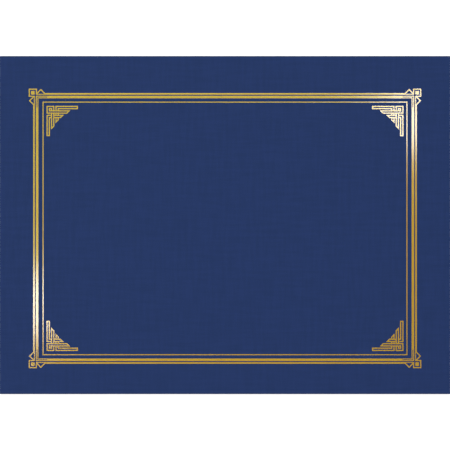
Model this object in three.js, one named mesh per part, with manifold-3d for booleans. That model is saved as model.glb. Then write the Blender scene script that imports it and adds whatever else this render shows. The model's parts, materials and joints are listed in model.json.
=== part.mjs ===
// Diploma cover: one sheet of heavy linen-embossed card, folded once along its top edge into two leaves.
// The front leaf carries a hot-stamped gold foil border; the back leaf has four slits that hold the corners
// of a letter-size certificate. The cover lies closed on its back leaf.
//
// Millimetres, +Z up. X runs along the fold, Y from the free edges to the fold, Z through the thickness.
// The origin is on the surface that the cover lies on, under the middle of the closed cover.

import * as THREE from 'three';
import { mergeVertices } from 'three/addons/utils/BufferGeometryUtils.js';
import Module from 'manifold-3d';

const wasm = await Module();
wasm.setup();

// Certificate that the cover is made for, lying across the inside of the back leaf
const certificateWidth = 279.4;
const certificateHeight = 215.9;

// Card
const spareAtSides = 19.05; // bare card from the certificate to each side edge
const spareAtFold = 11.1125; // the same, to the outside of the fold
const spareAtFree = 11.1125; // the same, to the free edge
const cardThickness = 0.38;
const leafGap = 0.4; // air between the closed leaves, which is also the inside width of the fold
const foldLip = 0.15; // straight stretch of card at each end of the bend
const foldSteps = 8; // flats round each face of the bend

// Corner slits in the back leaf
const slitReach = 25.4; // from the certificate's corner to the slit, along each of its edges
const slitOverrun = 3; // how far a slit runs past the certificate's edges
const slitWidth = 0.4;
const slitEndSteps = 8; // flats round each end of a slit

// Foil border, all of one foil thickness
const foilThickness = 0.06;
const sideMargin = 23.67; // from a side edge of the card to the outer rule
const foldMargin = 26.17; // from the fold to the outer rule
const freeMargin = 21.37; // from the free edge to the outer rule
const outerRule = 1.16;
const hairline = 0.74; // bare line between the outer rule and the heavy rule
const heavyRule = 1.78;
const innerSpaceAcross = 2.96; // bare card between the heavy rule and the inner rule, left and right
const innerSpaceAlong = 2.35; // the same, near the fold and near the free edge
const innerRule = 0.65;

// Small square and chevrons at each corner of the outer rule
const squareSide = 5.74;
const squareLine = 0.74;
const studSide = 2.55;
const chevronOffset = 3.87; // from the crossing of the bare lines to the middle of the chevron
const chevronRise = 3; // how far its point stands out of the outer rule
const chevronLine = 0.78;
const chevronSill = 0.6; // what is left of the outer rule under the chevron

// Bare channel engraved round each corner of the heavy rule
const channelWidth = 0.48;
const channelLeg = 8.5; // from the crossing of the bare lines to the end of a leg

// Woven knot inside each corner of the inner rule
const knotSpaceAcross = 2.13; // bare card between the inner rule and the knot, left and right
const knotSpaceAlong = 2.32; // the same, near the fold and near the free edge
const strandPitch = 1.57; // between the middles of neighbouring strands
const strandWidth = 0.8;
const armAcross = 21.7; // length of the arm that runs along the fold
const armAlong = 20.9; // length of the arm that runs towards the other long edge
const longSlant = 19.1; // places of the two diagonal lines that the shorter arms end on,
const shortSlant = 17.8; // as the sum of the distances from the knot's two outer strands

// How far a cutter stands past the faces that it cuts through, and how far a point may lie from the line
// between its neighbours and still count as on it
const cutterSpare = 0.5;
const straightTolerance = 0.002;
const weldTolerance = 1e-5; // corners of faces that lie closer than this are one point

// Sizes, heights and places that follow from those above
const coverWidth = certificateWidth + 2 * spareAtSides;
const coverHeight = certificateHeight + spareAtFold + spareAtFree;
const certificateMiddleY = (spareAtFree - spareAtFold) / 2;
const closedHeight = 2 * cardThickness + leafGap;
const hingeHeight = closedHeight / 2;
const hingeY = coverHeight / 2 - hingeHeight;
const leafEndY = hingeY - foldLip;
const freeEdgeY = -coverHeight / 2;
const frontLeafBottom = cardThickness + leafGap;

// The hairline between the outer rule and the heavy rule is what the border is set out from. Its middle
// lines cross at each corner, and places near a corner are measured inwards from that crossing.
const hairlineInset = outerRule + hairline / 2;
const lineRight = coverWidth / 2 - sideMargin - hairlineInset;
const lineTop = coverHeight / 2 - foldMargin - hairlineInset;
const lineBottom = freeEdgeY + freeMargin + hairlineInset;

const topLeft = { name: 'top_left', x: -lineRight, y: lineTop, inwardX: 1, inwardY: -1 };
const topRight = { name: 'top_right', x: lineRight, y: lineTop, inwardX: -1, inwardY: -1 };
const bottomRight = { name: 'bottom_right', x: lineRight, y: lineBottom, inwardX: -1, inwardY: 1 };
const bottomLeft = { name: 'bottom_left', x: -lineRight, y: lineBottom, inwardX: 1, inwardY: 1 };
const corners = [topLeft, bottomLeft, bottomRight, topRight]; // anticlockwise, seen from above

// Places that are equally far in along both directions
const ruleInner = hairline / 2; // faces of the outer rule
const ruleOuter = ruleInner + outerRule;
const heavyOuter = hairline / 2; // faces of the heavy rule
const heavyInner = heavyOuter + heavyRule;
const squareInner = ruleInner + squareLine; // inward and outward faces of the corner square
const squareOuter = squareInner - squareSide;
const squareOpening = squareOuter + squareLine;
const innerAcross = heavyInner + innerSpaceAcross; // outside of the inner rule
const innerAlong = heavyInner + innerSpaceAlong;

// A solid that can be joined and cut, from a closed geometry
function toSolid(geometry) {
  geometry.deleteAttribute('normal');
  geometry.deleteAttribute('uv');
  const { attributes, index } = mergeVertices(geometry, weldTolerance);
  return new wasm.Manifold(new wasm.Mesh({
    numProp: 3,
    vertProperties: new Float32Array(attributes.position.array),
    triVerts: new Uint32Array(index.array),
  }));
}

function toGeometry(solid) {
  const { vertProperties, triVerts } = solid.getMesh();
  const geometry = new THREE.BufferGeometry();
  geometry.setAttribute('position', new THREE.BufferAttribute(vertProperties, 3));
  return geometry.setIndex(new THREE.BufferAttribute(triVerts, 1));
}

// A flat plate from height bottom up, with the given outline and openings right through it
function plate(outline, openings, bottom, thickness) {
  const shape = new THREE.Shape(outline.map(([x, y]) => new THREE.Vector2(x, y)));
  const geometry = new THREE.ExtrudeGeometry(shape, { depth: thickness, bevelEnabled: false });
  const cutterHeight = thickness + 2 * cutterSpare;
  return openings.reduce(
    (solid, opening) => solid.subtract(plate(opening, [], bottom - cutterSpare, cutterHeight)),
    toSolid(geometry.translate(0, 0, bottom)),
  );
}

// Foil lies on top of the front leaf.
const foil = (outline, openings = []) => plate(outline, openings, closedHeight, foilThickness);

const rectangle = (x0, y0, x1, y1) => [[x0, y0], [x1, y0], [x1, y1], [x0, y1]];

// Turns points measured inwards from a corner into points on the card. The first number of each runs
// along the fold, the second across it.
function fromCorner(corner, points) {
  return points.map(([across, along]) => [
    corner.x + corner.inwardX * across,
    corner.y + corner.inwardY * along,
  ]);
}

const transposed = (points) => points.map(([across, along]) => [along, across]);

// One closed line round the whole border, anticlockwise, from the points that it has at each corner. They
// are given as they run at the top left, and turn round at each corner that is a mirror image of it.
function roundBorder(points) {
  return corners.flatMap((corner) => {
    const placed = fromCorner(corner, points);
    return corner.inwardX === -corner.inwardY ? placed : placed.reverse();
  });
}

const leafOutline = rectangle(-coverWidth / 2, freeEdgeY, coverWidth / 2, leafEndY);

// One slit: it crosses a certificate corner at 45 degrees and has round ends.
function slit(signX, signY) {
  const reach = slitReach / Math.SQRT2 + slitOverrun;
  const radius = slitWidth / 2;
  const path = new THREE.Path();
  path.absarc(reach, 0, radius, -Math.PI / 2, Math.PI / 2, false);
  path.absarc(-reach, 0, radius, Math.PI / 2, (3 * Math.PI) / 2, false);
  const middle = new THREE.Vector2(
    signX * (certificateWidth - slitReach) / 2,
    certificateMiddleY + signY * (certificateHeight - slitReach) / 2,
  );
  const turn = (-signX * signY * Math.PI) / 4;
  const points = path.getPoints(slitEndSteps).map((point) => point.rotateAround(new THREE.Vector2(), turn));
  return points.map((point) => point.add(middle).toArray());
}

function backLeaf() {
  const slits = [slit(-1, 1), slit(1, 1), slit(1, -1), slit(-1, -1)];
  return plate(leafOutline, slits, 0, cardThickness);
}

const frontLeaf = () => plate(leafOutline, [], frontLeafBottom, cardThickness);

// The bend: a half ring in section, with a short straight lip that meets each leaf
function foldBend() {
  const section = new THREE.Shape();
  section.moveTo(leafEndY, 0);
  section.absarc(hingeY, hingeHeight, hingeHeight, -Math.PI / 2, Math.PI / 2, false);
  section.lineTo(leafEndY, closedHeight);
  section.lineTo(leafEndY, frontLeafBottom);
  section.absarc(hingeY, hingeHeight, leafGap / 2, Math.PI / 2, -Math.PI / 2, true);
  section.lineTo(leafEndY, cardThickness);
  const geometry = new THREE.ExtrudeGeometry(section, {
    depth: coverWidth,
    bevelEnabled: false,
    curveSegments: foldSteps,
  });
  geometry.translate(0, 0, -coverWidth / 2);
  // the section's own X, Y and depth become the cover's Y, Z and X
  const turn = new THREE.Matrix4().set(0, 0, 1, 0, 1, 0, 0, 0, 0, 1, 0, 0, 0, 0, 0, 1);
  return toSolid(geometry.applyMatrix4(turn));
}

// The outer rule, with a square outline and two chevrons drawn out of it at each corner
function outerFrame() {
  const point = ruleOuter + chevronRise;
  const nearFoot = chevronOffset - chevronRise;
  const meeting = Math.max(nearFoot, squareInner); // where the chevron leaves the square or the rule
  const side = [
    [chevronOffset + chevronRise, -ruleOuter],
    [chevronOffset, -point],
    [meeting, nearFoot - meeting - ruleOuter],
    ...(nearFoot > squareInner ? [[squareInner, -ruleOuter]] : []),
    [squareInner, squareOuter],
  ];
  const outside = [...side, [squareOuter, squareOuter], ...transposed(side).reverse()];
  const inside = [
    [ruleInner, -ruleInner],
    [ruleInner, squareOpening],
    [squareOpening, squareOpening],
    [squareOpening, ruleInner],
    [-ruleInner, ruleInner],
  ];
  const eyePoint = point - chevronLine * Math.SQRT2;
  const eyeSill = ruleInner + chevronSill;
  const eyeHalf = eyePoint - eyeSill;
  const eye = [
    [chevronOffset - eyeHalf, -eyeSill],
    [chevronOffset, -eyePoint],
    [chevronOffset + eyeHalf, -eyeSill],
  ];
  const eyes = corners.flatMap((corner) => [fromCorner(corner, eye), fromCorner(corner, transposed(eye))]);
  return foil(roundBorder(outside), [roundBorder(inside), ...eyes]);
}

// The heavy rule, split along its middle by a bare channel round each corner
function heavyFrame() {
  const near = (heavyOuter + heavyInner - channelWidth) / 2;
  const far = near + channelWidth;
  const channel = [
    [near, near],
    [channelLeg, near],
    [channelLeg, far],
    [far, far],
    [far, channelLeg],
    [near, channelLeg],
  ];
  const channels = corners.map((corner) => fromCorner(corner, channel));
  const outside = roundBorder([[heavyOuter, heavyOuter]]);
  return foil(outside, [roundBorder([[heavyInner, heavyInner]]), ...channels]);
}

function innerFrame() {
  const outside = roundBorder([[innerAcross, innerAlong]]);
  return foil(outside, [roundBorder([[innerAcross + innerRule, innerAlong + innerRule]])]);
}

// The solid square in the middle of a corner square's opening
function stud(corner) {
  const near = (squareOpening + ruleInner - studSide) / 2;
  return foil(fromCorner(corner, rectangle(near, near, near + studSide, near + studSide)));
}

// Leaves out each point that lies on the line between its neighbours.
function straightened(loop) {
  return loop.filter((point, i) => {
    const before = loop[(i + loop.length - 1) % loop.length];
    const after = loop[(i + 1) % loop.length];
    const run = [after[0] - before[0], after[1] - before[1]];
    const away = run[0] * (point[1] - before[1]) - run[1] * (point[0] - before[0]);
    return Math.abs(away) > straightTolerance * Math.hypot(...run);
  });
}

// The closed lines round the top face of a joined and cut plate, the longest line first
function topLoops(solid) {
  const { vertProperties, triVerts } = solid.getMesh();
  const place = (vertex) => [...vertProperties.subarray(3 * vertex, 3 * vertex + 3)];
  const top = solid.boundingBox().max[2];
  const edges = new Map();
  for (let i = 0; i < triVerts.length; i += 3) {
    const face = [...triVerts.subarray(i, i + 3)];
    if (face.every((vertex) => top - place(vertex)[2] < straightTolerance)) {
      face.forEach((from, k) => edges.set(`${from} ${face[(k + 1) % 3]}`, [from, face[(k + 1) % 3]]));
    }
  }
  const next = new Map([...edges.values()].filter(([from, to]) => !edges.has(`${to} ${from}`)));
  const loops = [];
  while (next.size > 0) {
    const loop = [];
    let vertex = next.keys().next().value;
    while (next.has(vertex)) {
      loop.push(place(vertex).slice(0, 2));
      const following = next.get(vertex);
      next.delete(vertex);
      vertex = following;
    }
    loops.push(straightened(loop));
  }
  const girth = (loop) => loop.reduce((sum, [x, y], i) => {
    const [nextX, nextY] = loop[(i + 1) % loop.length];
    return sum + Math.hypot(nextX - x, nextY - y);
  }, 0);
  return loops.sort((a, b) => girth(b) - girth(a));
}

// Outline of a ribbon that follows a path of right-angled runs. Where a slant is given, the path's last
// point slides along its run to the diagonal line on which the two coordinates add up to it.
function ribbonOutline(path, halfWidth, slant) {
  const runs = path.slice(1).map((end, i) => [
    Math.sign(end[0] - path[i][0]),
    Math.sign(end[1] - path[i][1]),
  ]);
  const edge = (side) => path.map(([across, along], i) => {
    const before = runs[Math.max(i - 1, 0)];
    const after = runs[Math.min(i, runs.length - 1)];
    const offset = before === after ? (side * halfWidth) / 2 : side * halfWidth;
    const moved = [
      across - offset * (before[1] + after[1]),
      along + offset * (before[0] + after[0]),
    ];
    if (slant && i === path.length - 1) {
      const axis = before[0] !== 0 ? 0 : 1;
      moved[axis] = slant - moved[1 - axis];
    }
    return moved;
  });
  return [...edge(1), ...edge(-1).reverse()];
}

// A knot of flat ribbons, each drawn as two strands with bare card between them. Ribbons are laid from
// the lowest to the highest, and each hides what it crosses. Places are measured from the middle of the
// knot's two outer strands, so that strand number n lies n pitches in.
function knot(corner) {
  const origin = {
    ...corner,
    x: corner.x + corner.inwardX * (innerAcross + innerRule + knotSpaceAcross + strandWidth / 2),
    y: corner.y + corner.inwardY * (innerAlong + innerRule + knotSpaceAlong + strandWidth / 2),
  };
  const ribbonHalf = (strandPitch + strandWidth) / 2;
  const bareHalf = (strandPitch - strandWidth) / 2;
  const cutterHeight = foilThickness + 2 * cutterSpare;
  const laidBy = (ribbons, laid) => {
    const covered = ribbons.reduce((sum, { path, slant }) => {
      const ribbon = foil(fromCorner(origin, ribbonOutline(path, ribbonHalf, slant)));
      return sum ? sum.add(ribbon) : ribbon;
    }, laid);
    return ribbons.reduce((sum, { path, slant, arm }) => {
      const [[across, along], ...rest] = path;
      const start = [
        across - Math.sign(across - rest[0][0]) * (arm ? strandWidth : 0),
        along - Math.sign(along - rest[0][1]) * (arm ? strandWidth : 0),
      ];
      const bareSlant = slant && slant - strandWidth * Math.SQRT2;
      const bare = fromCorner(origin, ribbonOutline([start, ...rest], bareHalf, bareSlant));
      return sum.subtract(plate(bare, [], closedHeight - cutterSpare, cutterHeight));
    }, covered);
  };

  // middles of the ribbons between strands 0 and 1, 2 and 3, and 4 and 5
  const [first, second, third] = [0.5, 2.5, 4.5].map((number) => number * strandPitch);
  const onward = longSlant; // a run that ends on a slant only has to head for it
  const armRibbons = [
    { path: [[armAcross, first], [third, first], [third, onward]], slant: shortSlant, arm: true },
    { path: [[first, armAlong], [first, third], [onward, third]], slant: shortSlant, arm: true },
  ];
  // the loop at the corner is two ribbons that overlap on its straight left side
  const overlap = 2 * strandPitch;
  const loopRibbons = [
    { path: [[first, overlap], [first, first], [second, first], [second, onward]], slant: longSlant },
    { path: [[first, strandPitch], [first, second], [onward, second]], slant: longSlant },
  ];
  // where the loop crosses itself, the run along the fold is laid over the other once more
  const overpass = { path: [[2 * strandPitch, second], [3 * strandPitch, second]] };
  const layers = [[armRibbons[0]], [armRibbons[1]], loopRibbons, [overpass]];
  const [outline, ...openings] = topLoops(layers.reduce((laid, layer) => laidBy(layer, laid), null));
  return foil(outline, openings);
}

// Materials
const navyCard = { color: 0x283a64, roughness: 0.85, metalness: 0 };
const goldFoil = { color: 0xd0b244, roughness: 0.28, metalness: 1 };

function addMesh(group, name, solid, look) {
  const material = new THREE.MeshStandardMaterial({ ...look, flatShading: true });
  const mesh = new THREE.Mesh(toGeometry(solid), material);
  mesh.name = name;
  group.add(mesh);
}

const cover = new THREE.Group();
cover.name = 'diploma_cover';

const back = new THREE.Group();
addMesh(back, 'back_leaf', backLeaf(), navyCard);
addMesh(back, 'fold_bend', foldBend(), navyCard);
cover.add(back);

const front = new THREE.Group();
addMesh(front, 'front_leaf', frontLeaf(), navyCard);
addMesh(front, 'outer_rule_foil', outerFrame(), goldFoil);
addMesh(front, 'heavy_rule_foil', heavyFrame(), goldFoil);
addMesh(front, 'inner_rule_foil', innerFrame(), goldFoil);
for (const corner of corners) {
  addMesh(front, `stud_foil_${corner.name}`, stud(corner), goldFoil);
  addMesh(front, `knot_foil_${corner.name}`, knot(corner), goldFoil);
}
cover.add(front);

export default cover;
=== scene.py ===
import json
import math

import bmesh
import bpy
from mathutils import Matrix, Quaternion, Vector


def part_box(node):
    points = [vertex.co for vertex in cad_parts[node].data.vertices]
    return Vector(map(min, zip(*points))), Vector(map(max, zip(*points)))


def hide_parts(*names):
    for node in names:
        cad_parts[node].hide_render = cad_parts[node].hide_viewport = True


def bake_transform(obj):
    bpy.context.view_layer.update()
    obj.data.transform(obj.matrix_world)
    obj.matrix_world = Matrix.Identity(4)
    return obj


# A closed diploma cover, lying on its back leaf: one sheet of navy linen card, folded once along the
# top edge, with slits inside for the certificate's corners and a gold border stamped on the front leaf.
# Everything is in metres. +X runs along the fold, +Y towards it, +Z up through the cover.
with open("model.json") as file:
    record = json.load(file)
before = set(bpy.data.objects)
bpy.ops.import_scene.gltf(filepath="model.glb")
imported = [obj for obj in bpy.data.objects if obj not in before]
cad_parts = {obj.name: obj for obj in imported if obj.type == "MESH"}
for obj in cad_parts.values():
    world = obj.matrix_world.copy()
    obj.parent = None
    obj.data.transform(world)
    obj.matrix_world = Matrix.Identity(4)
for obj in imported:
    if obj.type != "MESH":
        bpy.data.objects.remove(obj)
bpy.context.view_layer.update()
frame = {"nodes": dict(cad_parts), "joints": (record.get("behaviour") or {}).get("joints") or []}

MM = 0.001

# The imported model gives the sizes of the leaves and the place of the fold. The radius of the bend
# is that of the sheet's middle layer.
back_low, back_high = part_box("back_leaf")
front_low, front_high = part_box("front_leaf")
hinge = next(joint for joint in frame["joints"] if joint["name"] == "front_leaf_hinge")
HINGE_Y, HINGE_Z = hinge["pos_m"][1:]
CARD_THICKNESS = back_high.z - back_low.z
COVER_WIDTH = back_high.x - back_low.x
CLOSED_HEIGHT = front_high.z - back_low.z
LEAF_LENGTH = HINGE_Y - back_low.y
BEND_RADIUS = HINGE_Z - CARD_THICKNESS / 2
HALF_BEND = math.pi / 2 * BEND_RADIUS

# The bend is drawn in steps, and is a hair narrower than the leaves at each side. The knife leaves
# the cut edges slightly round. A face lies level where its normal's Z, up or down, is LEVEL_FACE or more.
BEND_STEPS = 16
BEND_INSET = 0.02 * MM
CUT_EDGE_ROUNDING = 0.05 * MM
CUT_EDGE_ANGLE = math.radians(60)
LEVEL_FACE = 0.9999
FLAT_MAP = "flat_sheet"

# A letter-size certificate lies in the middle of the back leaf, and a slit crosses each of its corners.
# The slit meets the certificate's edges SLIT_REACH from the corner, and runs on past them.
CERTIFICATE_WIDTH = 279.4 * MM
CERTIFICATE_HEIGHT = 215.9 * MM
SLIT_REACH = 25.4 * MM
SLIT_OVERRUN = 3 * MM
SLIT_WIDTH = 0.4 * MM
SLIT_END_STEPS = 8

# Linen threads lie about 0.45 mm apart, and the relief keeps that. A thread is narrower than a pixel
# of the picture, so the tone of the weave is drawn coarser, in streaks about five threads wide.
THREAD_PITCH = 0.45 * MM
THREAD_LENGTH = 9 * MM
STREAK_PITCH = 2.4 * MM
STREAK_LENGTH = 22 * MM
CARD_RELIEF = 0.08 * MM
# The foil bridges most of the weave, and the die presses it a little unevenly, in patches.
FOIL_RELIEF = 0.02 * MM
PRESSURE_PATCH = 9 * MM

# The photograph is square, and the cover fills it from side to side, with a hair of each side cut off.
# The lens and the sensor are in millimetres, as a camera takes them.
LENS = 85.0
SENSOR = 36.0
FRAME_FILL = 1.002
CAMERA_HEIGHT = COVER_WIDTH * LENS / SENSOR / FRAME_FILL

# The overhead lamps hang level, far enough up to light the cover evenly. The foil mirrors them:
# a place on it shows the ceiling at MIRROR_REACH times its distance from the middle. The narrow strip
# hangs STRIP_DROP below the two wide ones, so that it isn't in one plane with them.
LAMP_HEIGHT = 1.5
MIRROR_REACH = 1 + LAMP_HEIGHT / CAMERA_HEIGHT
GLEAM_ANGLE = math.radians(26.4)
GLEAM_MIDDLE_Y = 10 * MM * MIRROR_REACH
STRIP_SIZE = (1.5, 0.12)
STRIP_DROP = 0.03
OVERHEAD_SIZE = (3.2, 1.5)
KEY_SIZE = (2.0, 2.0)
KEY_PLACE = Vector((-2.2, 1.7, 2.4))

# The table reaches well past the cover. Its top lies a hair below, so that no two faces share a plane.
TABLE_REACH = 1.0
TABLE_GAP = 0.1 * MM


def linear(hex_colour):
    """An sRGB hex colour as the linear colour that shaders and lamps take."""
    channels = [int(hex_colour[k:k + 2], 16) / 255 for k in (1, 3, 5)]
    return [c / 12.92 if c <= 0.04045 else ((c + 0.055) / 1.055) ** 2.4 for c in channels] + [1.0]


def add_node(tree, kind, settings=None, inputs=None):
    """Adds a node with its settings. An input is a value, or the output socket that feeds it."""
    node = tree.nodes.new(kind)
    for name, value in (settings or {}).items():
        setattr(node, name, value)
    for name, value in (inputs or {}).items():
        if isinstance(value, bpy.types.NodeSocket):
            tree.links.new(value, node.inputs[name])
        else:
            node.inputs[name].default_value = value
    return node


def new_material(name):
    """An empty material and its node tree."""
    material = bpy.data.materials.new(name)
    material.use_nodes = True
    material.node_tree.nodes.clear()
    return material, material.node_tree


def threads(tree, place, pitch, length, across):
    """Noise drawn out into threads: pitch apart along the axis across, about length long the other way."""
    scale = (1 / pitch, 1 / length, 1) if across == "X" else (1 / length, 1 / pitch, 1)
    stretched = add_node(tree, "ShaderNodeVectorMath", {"operation": "MULTIPLY"}, {0: place, 1: scale})
    noise = add_node(tree, "ShaderNodeTexNoise", {"noise_dimensions": "2D"},
                     {"Vector": stretched.outputs[0], "Scale": 1.0, "Detail": 2.0, "Roughness": 0.5})
    return noise.outputs["Fac"]


def crossed_threads(tree, place, pitch, length):
    """Threads both ways, as the embossing roller leaves them: 0 to 1, 0.5 on average."""
    warp = threads(tree, place, pitch, length, "X")
    weft = threads(tree, place, pitch, length, "Y")
    both = add_node(tree, "ShaderNodeMath", {"operation": "ADD"}, {0: warp, 1: weft})
    mean = add_node(tree, "ShaderNodeMath", {"operation": "MULTIPLY"}, {0: both.outputs[0], 1: 0.5})
    return mean.outputs[0]


def linen_embossed_card():
    """Cover stock dyed navy through the pulp, then embossed between linen-patterned rollers.
    It is matt, with a fine woven relief and faint crossed streaks."""
    material, tree = new_material("linen_embossed_navy_card")
    place = add_node(tree, "ShaderNodeUVMap", {"uv_map": FLAT_MAP}).outputs["UV"]
    fine = crossed_threads(tree, place, THREAD_PITCH, THREAD_LENGTH)
    coarse = crossed_threads(tree, place, STREAK_PITCH, STREAK_LENGTH)
    # The crossed noise seldom leaves 0.35 to 0.65, so that range spans the two tones.
    tone = add_node(tree, "ShaderNodeMapRange", {},
                    {"Value": coarse, "From Min": 0.35, "From Max": 0.65, "To Min": 0.0, "To Max": 1.0})
    colour = add_node(tree, "ShaderNodeMix", {"data_type": "RGBA"},
                      {"Factor": tone.outputs[0], "A": linear("#203363"), "B": linear("#233669")})
    relief = add_node(tree, "ShaderNodeBump", {},
                      {"Strength": 1.0, "Distance": CARD_RELIEF, "Height": fine})
    shader = add_node(tree, "ShaderNodeBsdfPrincipled", {}, {
        "Base Color": colour.outputs["Result"], "Roughness": 0.85, "IOR": 1.45,
        "Specular IOR Level": 0.15, "Normal": relief.outputs["Normal"]})
    add_node(tree, "ShaderNodeOutputMaterial", {}, {"Surface": shader.outputs[0]})
    return material


def hot_stamped_foil():
    """Aluminium film under a yellow-dyed lacquer, stamped on with a heated die.
    The card's weave breaks up the metal's shine, and the lacquer over it keeps a clear white gleam."""
    material, tree = new_material("hot_stamped_gold_foil")
    place = add_node(tree, "ShaderNodeTexCoord").outputs["Object"]
    weave = crossed_threads(tree, place, THREAD_PITCH, THREAD_LENGTH)
    relief = add_node(tree, "ShaderNodeBump", {},
                      {"Strength": 0.15, "Distance": FOIL_RELIEF, "Height": weave})
    pressure = add_node(tree, "ShaderNodeTexNoise", {"noise_dimensions": "2D"},
                        {"Vector": place, "Scale": 1 / PRESSURE_PATCH, "Detail": 2.0})
    roughness = add_node(tree, "ShaderNodeMapRange", {},
                         {"Value": pressure.outputs["Fac"], "From Min": 0.3, "From Max": 0.7,
                          "To Min": 0.65, "To Max": 0.71})
    shader = add_node(tree, "ShaderNodeBsdfPrincipled", {}, {
        "Base Color": linear("#C3A119"), "Metallic": 1.0, "Roughness": roughness.outputs[0],
        "Coat Weight": 1.0, "Coat Roughness": 0.11, "Coat IOR": 2.0,
        "Normal": relief.outputs["Normal"]})
    add_node(tree, "ShaderNodeOutputMaterial", {}, {"Surface": shader.outputs[0]})
    return material


def bend_and_front_leaf(sheet):
    """Adds the bend and the plain front leaf, as rows of faces across the sheet. The bend is a hair
    narrower, so that its ends lie inside the leaves when the cover is open.
    Returns the two corners where the back leaf joins on."""
    half_width = COVER_WIDTH / 2
    leaf_end = HALF_BEND + LEAF_LENGTH
    bend_rows = [(HALF_BEND * (2 * step / BEND_STEPS - 1), half_width - BEND_INSET)
                 for step in range(1, BEND_STEPS)]
    rows = [(-HALF_BEND, half_width), *bend_rows, (HALF_BEND, half_width), (leaf_end, half_width)]
    pairs = [[sheet.verts.new((side * reach, s, 0)) for side in (-1, 1)] for s, reach in rows]
    for lower, upper in zip(pairs, pairs[1:]):
        sheet.faces.new((lower[0], lower[1], upper[1], upper[0]))
    return pairs[0]


def die_cut_slit(middle_x, middle_s, direction):
    """The outline of one straight slit with round ends, as points of x and s."""
    along = Vector(direction).normalized()
    side = Vector((-along.y, along.x))
    half_length = SLIT_REACH / math.sqrt(2) + SLIT_OVERRUN
    radius = SLIT_WIDTH / 2
    outline = []
    for end in (1, -1):
        for step in range(SLIT_END_STEPS + 1):
            turn = math.pi * (0.5 - step / SLIT_END_STEPS)
            outline.append(Vector((middle_x, middle_s)) + end * (
                along * (half_length + radius * math.cos(turn)) + side * (radius * math.sin(turn))))
    return outline


def slit_outlines():
    """The outlines of the four slits. On the back leaf, s is y less HINGE_Y and HALF_BEND."""
    middle_x = (CERTIFICATE_WIDTH - SLIT_REACH) / 2
    middle_y = (CERTIFICATE_HEIGHT - SLIT_REACH) / 2
    return [die_cut_slit(side_x * middle_x, side_y * middle_y - HINGE_Y - HALF_BEND, (side_x, -side_y))
            for side_x in (-1, 1) for side_y in (-1, 1)]


def back_leaf_with_slits(sheet, fold_corners):
    """Adds the back leaf: its outline and the slits in it, with the card between them filled in."""
    free_corners = [sheet.verts.new((side * COVER_WIDTH / 2, -HALF_BEND - LEAF_LENGTH, 0))
                    for side in (-1, 1)]
    outlines = [
        sheet.edges.get(fold_corners),
        sheet.edges.new(free_corners),
        sheet.edges.new((free_corners[0], fold_corners[0])),
        sheet.edges.new((free_corners[1], fold_corners[1])),
    ]
    for slit in slit_outlines():
        corners = [sheet.verts.new((point.x, point.y, 0)) for point in slit]
        for here, following in zip(corners, corners[1:] + corners[:1]):
            outlines.append(sheet.edges.new((here, following)))
    bmesh.ops.triangle_fill(sheet, edges=outlines, use_beauty=True, normal=(0, 0, 1))


def flat_sheet():
    """The card before it is folded, in x and s. s is the distance from the middle of the fold,
    with the back leaf below zero and the front leaf above it."""
    sheet = bmesh.new()
    fold_corners = bend_and_front_leaf(sheet)
    back_leaf_with_slits(sheet, fold_corners)
    bmesh.ops.recalc_face_normals(sheet, faces=sheet.faces)
    return sheet


def folded_place(s):
    """Where a point of the folded sheet's middle layer lies, and which way its outer face looks there."""
    if s < -HALF_BEND:
        return Vector((0, HINGE_Y + HALF_BEND + s, back_low.z + CARD_THICKNESS / 2)), Vector((0, 0, -1))
    if s > HALF_BEND:
        return Vector((0, HINGE_Y + HALF_BEND - s, front_high.z - CARD_THICKNESS / 2)), Vector((0, 0, 1))
    turn = s / BEND_RADIUS
    outward = Vector((0, math.cos(turn), math.sin(turn)))
    return Vector((0, HINGE_Y, HINGE_Z)) + outward * BEND_RADIUS, outward


def fold_and_thicken(sheet):
    """The sheet folded and given the card's thickness, as one closed mesh. Its map keeps each point's
    place on the flat sheet, so that the linen runs on round the bend."""
    card = bmesh.new()
    flat = card.loops.layers.uv.new(FLAT_MAP)
    outer, inner, flat_place = {}, {}, {}
    for point in sheet.verts:
        place, outward = folded_place(point.co.y)
        along = Vector((point.co.x, 0, 0))
        outer[point] = card.verts.new(along + place + outward * CARD_THICKNESS / 2)
        inner[point] = card.verts.new(along + place - outward * CARD_THICKNESS / 2)
        for corner in (outer[point], inner[point]):
            flat_place[corner] = point.co.xy
    for face in sheet.faces:
        card.faces.new([outer[point] for point in face.verts])
        card.faces.new([inner[point] for point in reversed(face.verts)])
    for edge in sheet.edges:
        if edge.is_boundary:
            start, end = edge.verts
            card.faces.new((outer[start], outer[end], inner[end], inner[start]))
    bmesh.ops.recalc_face_normals(card, faces=card.faces)
    for face in card.faces:
        for loop in face.loops:
            loop[flat].uv = flat_place[loop.vert]
    return card


def round_cut_edges(card):
    """Rounds the cut edges. The leaves' faces are truly flat, so only the rest is shaded smooth."""
    cut_edges = [edge for edge in card.edges if edge.calc_face_angle(0) > CUT_EDGE_ANGLE]
    bmesh.ops.bevel(card, geom=cut_edges, offset=CUT_EDGE_ROUNDING, segments=2, profile=0.5, affect="EDGES")
    for face in card.faces:
        face.smooth = abs(face.normal.z) < LEVEL_FACE


def folded_card():
    """The whole sheet, folded once: both leaves and the bend in one closed mesh."""
    sheet = flat_sheet()
    card = fold_and_thicken(sheet)
    sheet.free()
    round_cut_edges(card)
    mesh = bpy.data.meshes.new("folded_card")
    card.to_mesh(mesh)
    card.free()
    piece = bpy.data.objects.new("folded_card", mesh)
    bpy.context.scene.collection.objects.link(piece)
    mesh.materials.append(linen_embossed_card())
    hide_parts("back_leaf", "fold_bend", "front_leaf")
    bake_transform(piece)


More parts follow.
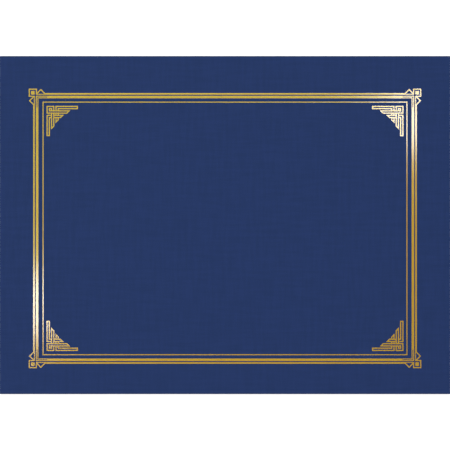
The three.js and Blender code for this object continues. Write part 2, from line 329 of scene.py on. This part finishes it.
def gold_border():
    """Gives every island of foil on the front leaf the stamped foil's finish."""
    foil = hot_stamped_foil()
    for name, node in frame["nodes"].items():
        if "_foil" in name:
            node.data.materials.clear()
            node.data.materials.append(foil)


def seen_directly(tree):
    """1 where the camera, a shiny surface or a clear one looks at something, 0 where light only bounces."""
    path = add_node(tree, "ShaderNodeLightPath").outputs
    shiny = add_node(tree, "ShaderNodeMath", {"operation": "MAXIMUM"},
                     {0: path["Is Glossy Ray"], 1: path["Is Transmission Ray"]})
    seen = add_node(tree, "ShaderNodeMath", {"operation": "MAXIMUM"},
                    {0: path["Is Camera Ray"], 1: shiny.outputs[0]})
    return seen.outputs[0]


def white_table_laminate():
    """A plain white laminate. Its glow and the light on it add up to white, and it still shows shadows."""
    material, tree = new_material("white_table_laminate")
    shaded = add_node(tree, "ShaderNodeBsdfDiffuse", {}, {"Color": linear("#C8C8C8")})
    glow = add_node(tree, "ShaderNodeEmission", {}, {"Strength": 0.62})
    seen = add_node(tree, "ShaderNodeMixShader", {}, {0: seen_directly(tree), 2: glow.outputs[0]})
    both = add_node(tree, "ShaderNodeAddShader", {}, {0: shaded.outputs[0], 1: seen.outputs[0]})
    add_node(tree, "ShaderNodeOutputMaterial", {}, {"Surface": both.outputs[0]})
    return material


def white_table():
    """The table top that the cover lies on."""
    mesh = bpy.data.meshes.new("table_top")
    corners = [(x * TABLE_REACH, y * TABLE_REACH, -TABLE_GAP)
               for x, y in ((-1, -1), (1, -1), (1, 1), (-1, 1))]
    mesh.from_pydata(corners, [], [(0, 1, 2, 3)])
    mesh.materials.append(white_table_laminate())
    table = bpy.data.objects.new("table_top", mesh)
    bpy.context.scene.collection.objects.link(table)


def softbox(name, place, size, facing, radiance, colour):
    """A rectangular lamp that looks straight down until facing turns it. Its face shows the radiance,
    which is its energy over four times its area."""
    data = bpy.data.lights.new(name, "AREA")
    data.shape = "RECTANGLE"
    data.size, data.size_y = size
    data.energy = radiance * 4 * size[0] * size[1]
    data.color = linear(colour)[:3]
    lamp = bpy.data.objects.new(name, data)
    lamp.location = place
    lamp.rotation_mode = "QUATERNION"
    lamp.rotation_quaternion = facing
    bpy.context.scene.collection.objects.link(lamp)


def studio_lamps():
    """A narrow lamp overhead that gives the foil its gleam, a cool and a warm softbox on its two sides,
    and a soft key light from the upper left."""
    uphill = Vector((-math.sin(GLEAM_ANGLE), math.cos(GLEAM_ANGLE), 0))
    middle = Vector((0, GLEAM_MIDDLE_Y, CLOSED_HEIGHT + LAMP_HEIGHT))
    level = Quaternion((0, 0, 1), GLEAM_ANGLE)
    above_strip = Vector((0, 0, STRIP_DROP))
    beside = uphill * OVERHEAD_SIZE[1] / 2
    softbox("gleam_strip", middle, STRIP_SIZE, level, 5.9, "#FFFFFF")
    softbox("cool_softbox", middle + above_strip + beside, OVERHEAD_SIZE, level, 0.66, "#DEFFC8")
    softbox("warm_softbox", middle + above_strip - beside, OVERHEAD_SIZE, level, 0.26, "#FFBFC3")
    softbox("key_softbox", KEY_PLACE, KEY_SIZE, KEY_PLACE.to_track_quat("Z", "Y"), 2.9, "#FFF6EE")


def pale_room():
    """The room around the table: pale walls that low views find in the foil, a dim ceiling over the
    lamps, and plain white where the camera looks past the table."""
    world = bpy.data.worlds.new("pale_room")
    bpy.context.scene.world = world
    world.use_nodes = True
    tree = world.node_tree
    tree.nodes.clear()
    # A direction's Z is 0 at the horizon and 1 straight up.
    direction = add_node(tree, "ShaderNodeTexCoord").outputs["Generated"]
    height = add_node(tree, "ShaderNodeSeparateXYZ", {}, {0: direction}).outputs["Z"]
    level = add_node(tree, "ShaderNodeMapRange", {"interpolation_type": "SMOOTHSTEP"},
                     {"Value": height, "From Min": 0.3, "From Max": 0.8, "To Min": 1.0, "To Max": 0.12})
    room = add_node(tree, "ShaderNodeBackground", {},
                    {"Color": (1, 1, 1, 1), "Strength": level.outputs[0]})
    white = add_node(tree, "ShaderNodeBackground", {}, {"Color": (1, 1, 1, 1), "Strength": 1.0})
    is_camera = add_node(tree, "ShaderNodeLightPath").outputs["Is Camera Ray"]
    seen = add_node(tree, "ShaderNodeMixShader", {},
                    {0: is_camera, 1: room.outputs[0], 2: white.outputs[0]})
    add_node(tree, "ShaderNodeOutputWorld", {}, {"Surface": seen.outputs[0]})


def overhead_camera():
    """Straight above the cover, with the fold at the top of the picture."""
    data = bpy.data.cameras.new("overhead_camera")
    data.lens, data.sensor_width = LENS, SENSOR
    camera = bpy.data.objects.new("overhead_camera", data)
    camera.location = (0, 0, CLOSED_HEIGHT + CAMERA_HEIGHT)
    bpy.context.scene.collection.objects.link(camera)
    bpy.context.scene.camera = camera


overhead_camera()
folded_card()
gold_border()
white_table()
studio_lamps()
pale_room()
bpy.context.scene.view_settings.view_transform = "Standard"
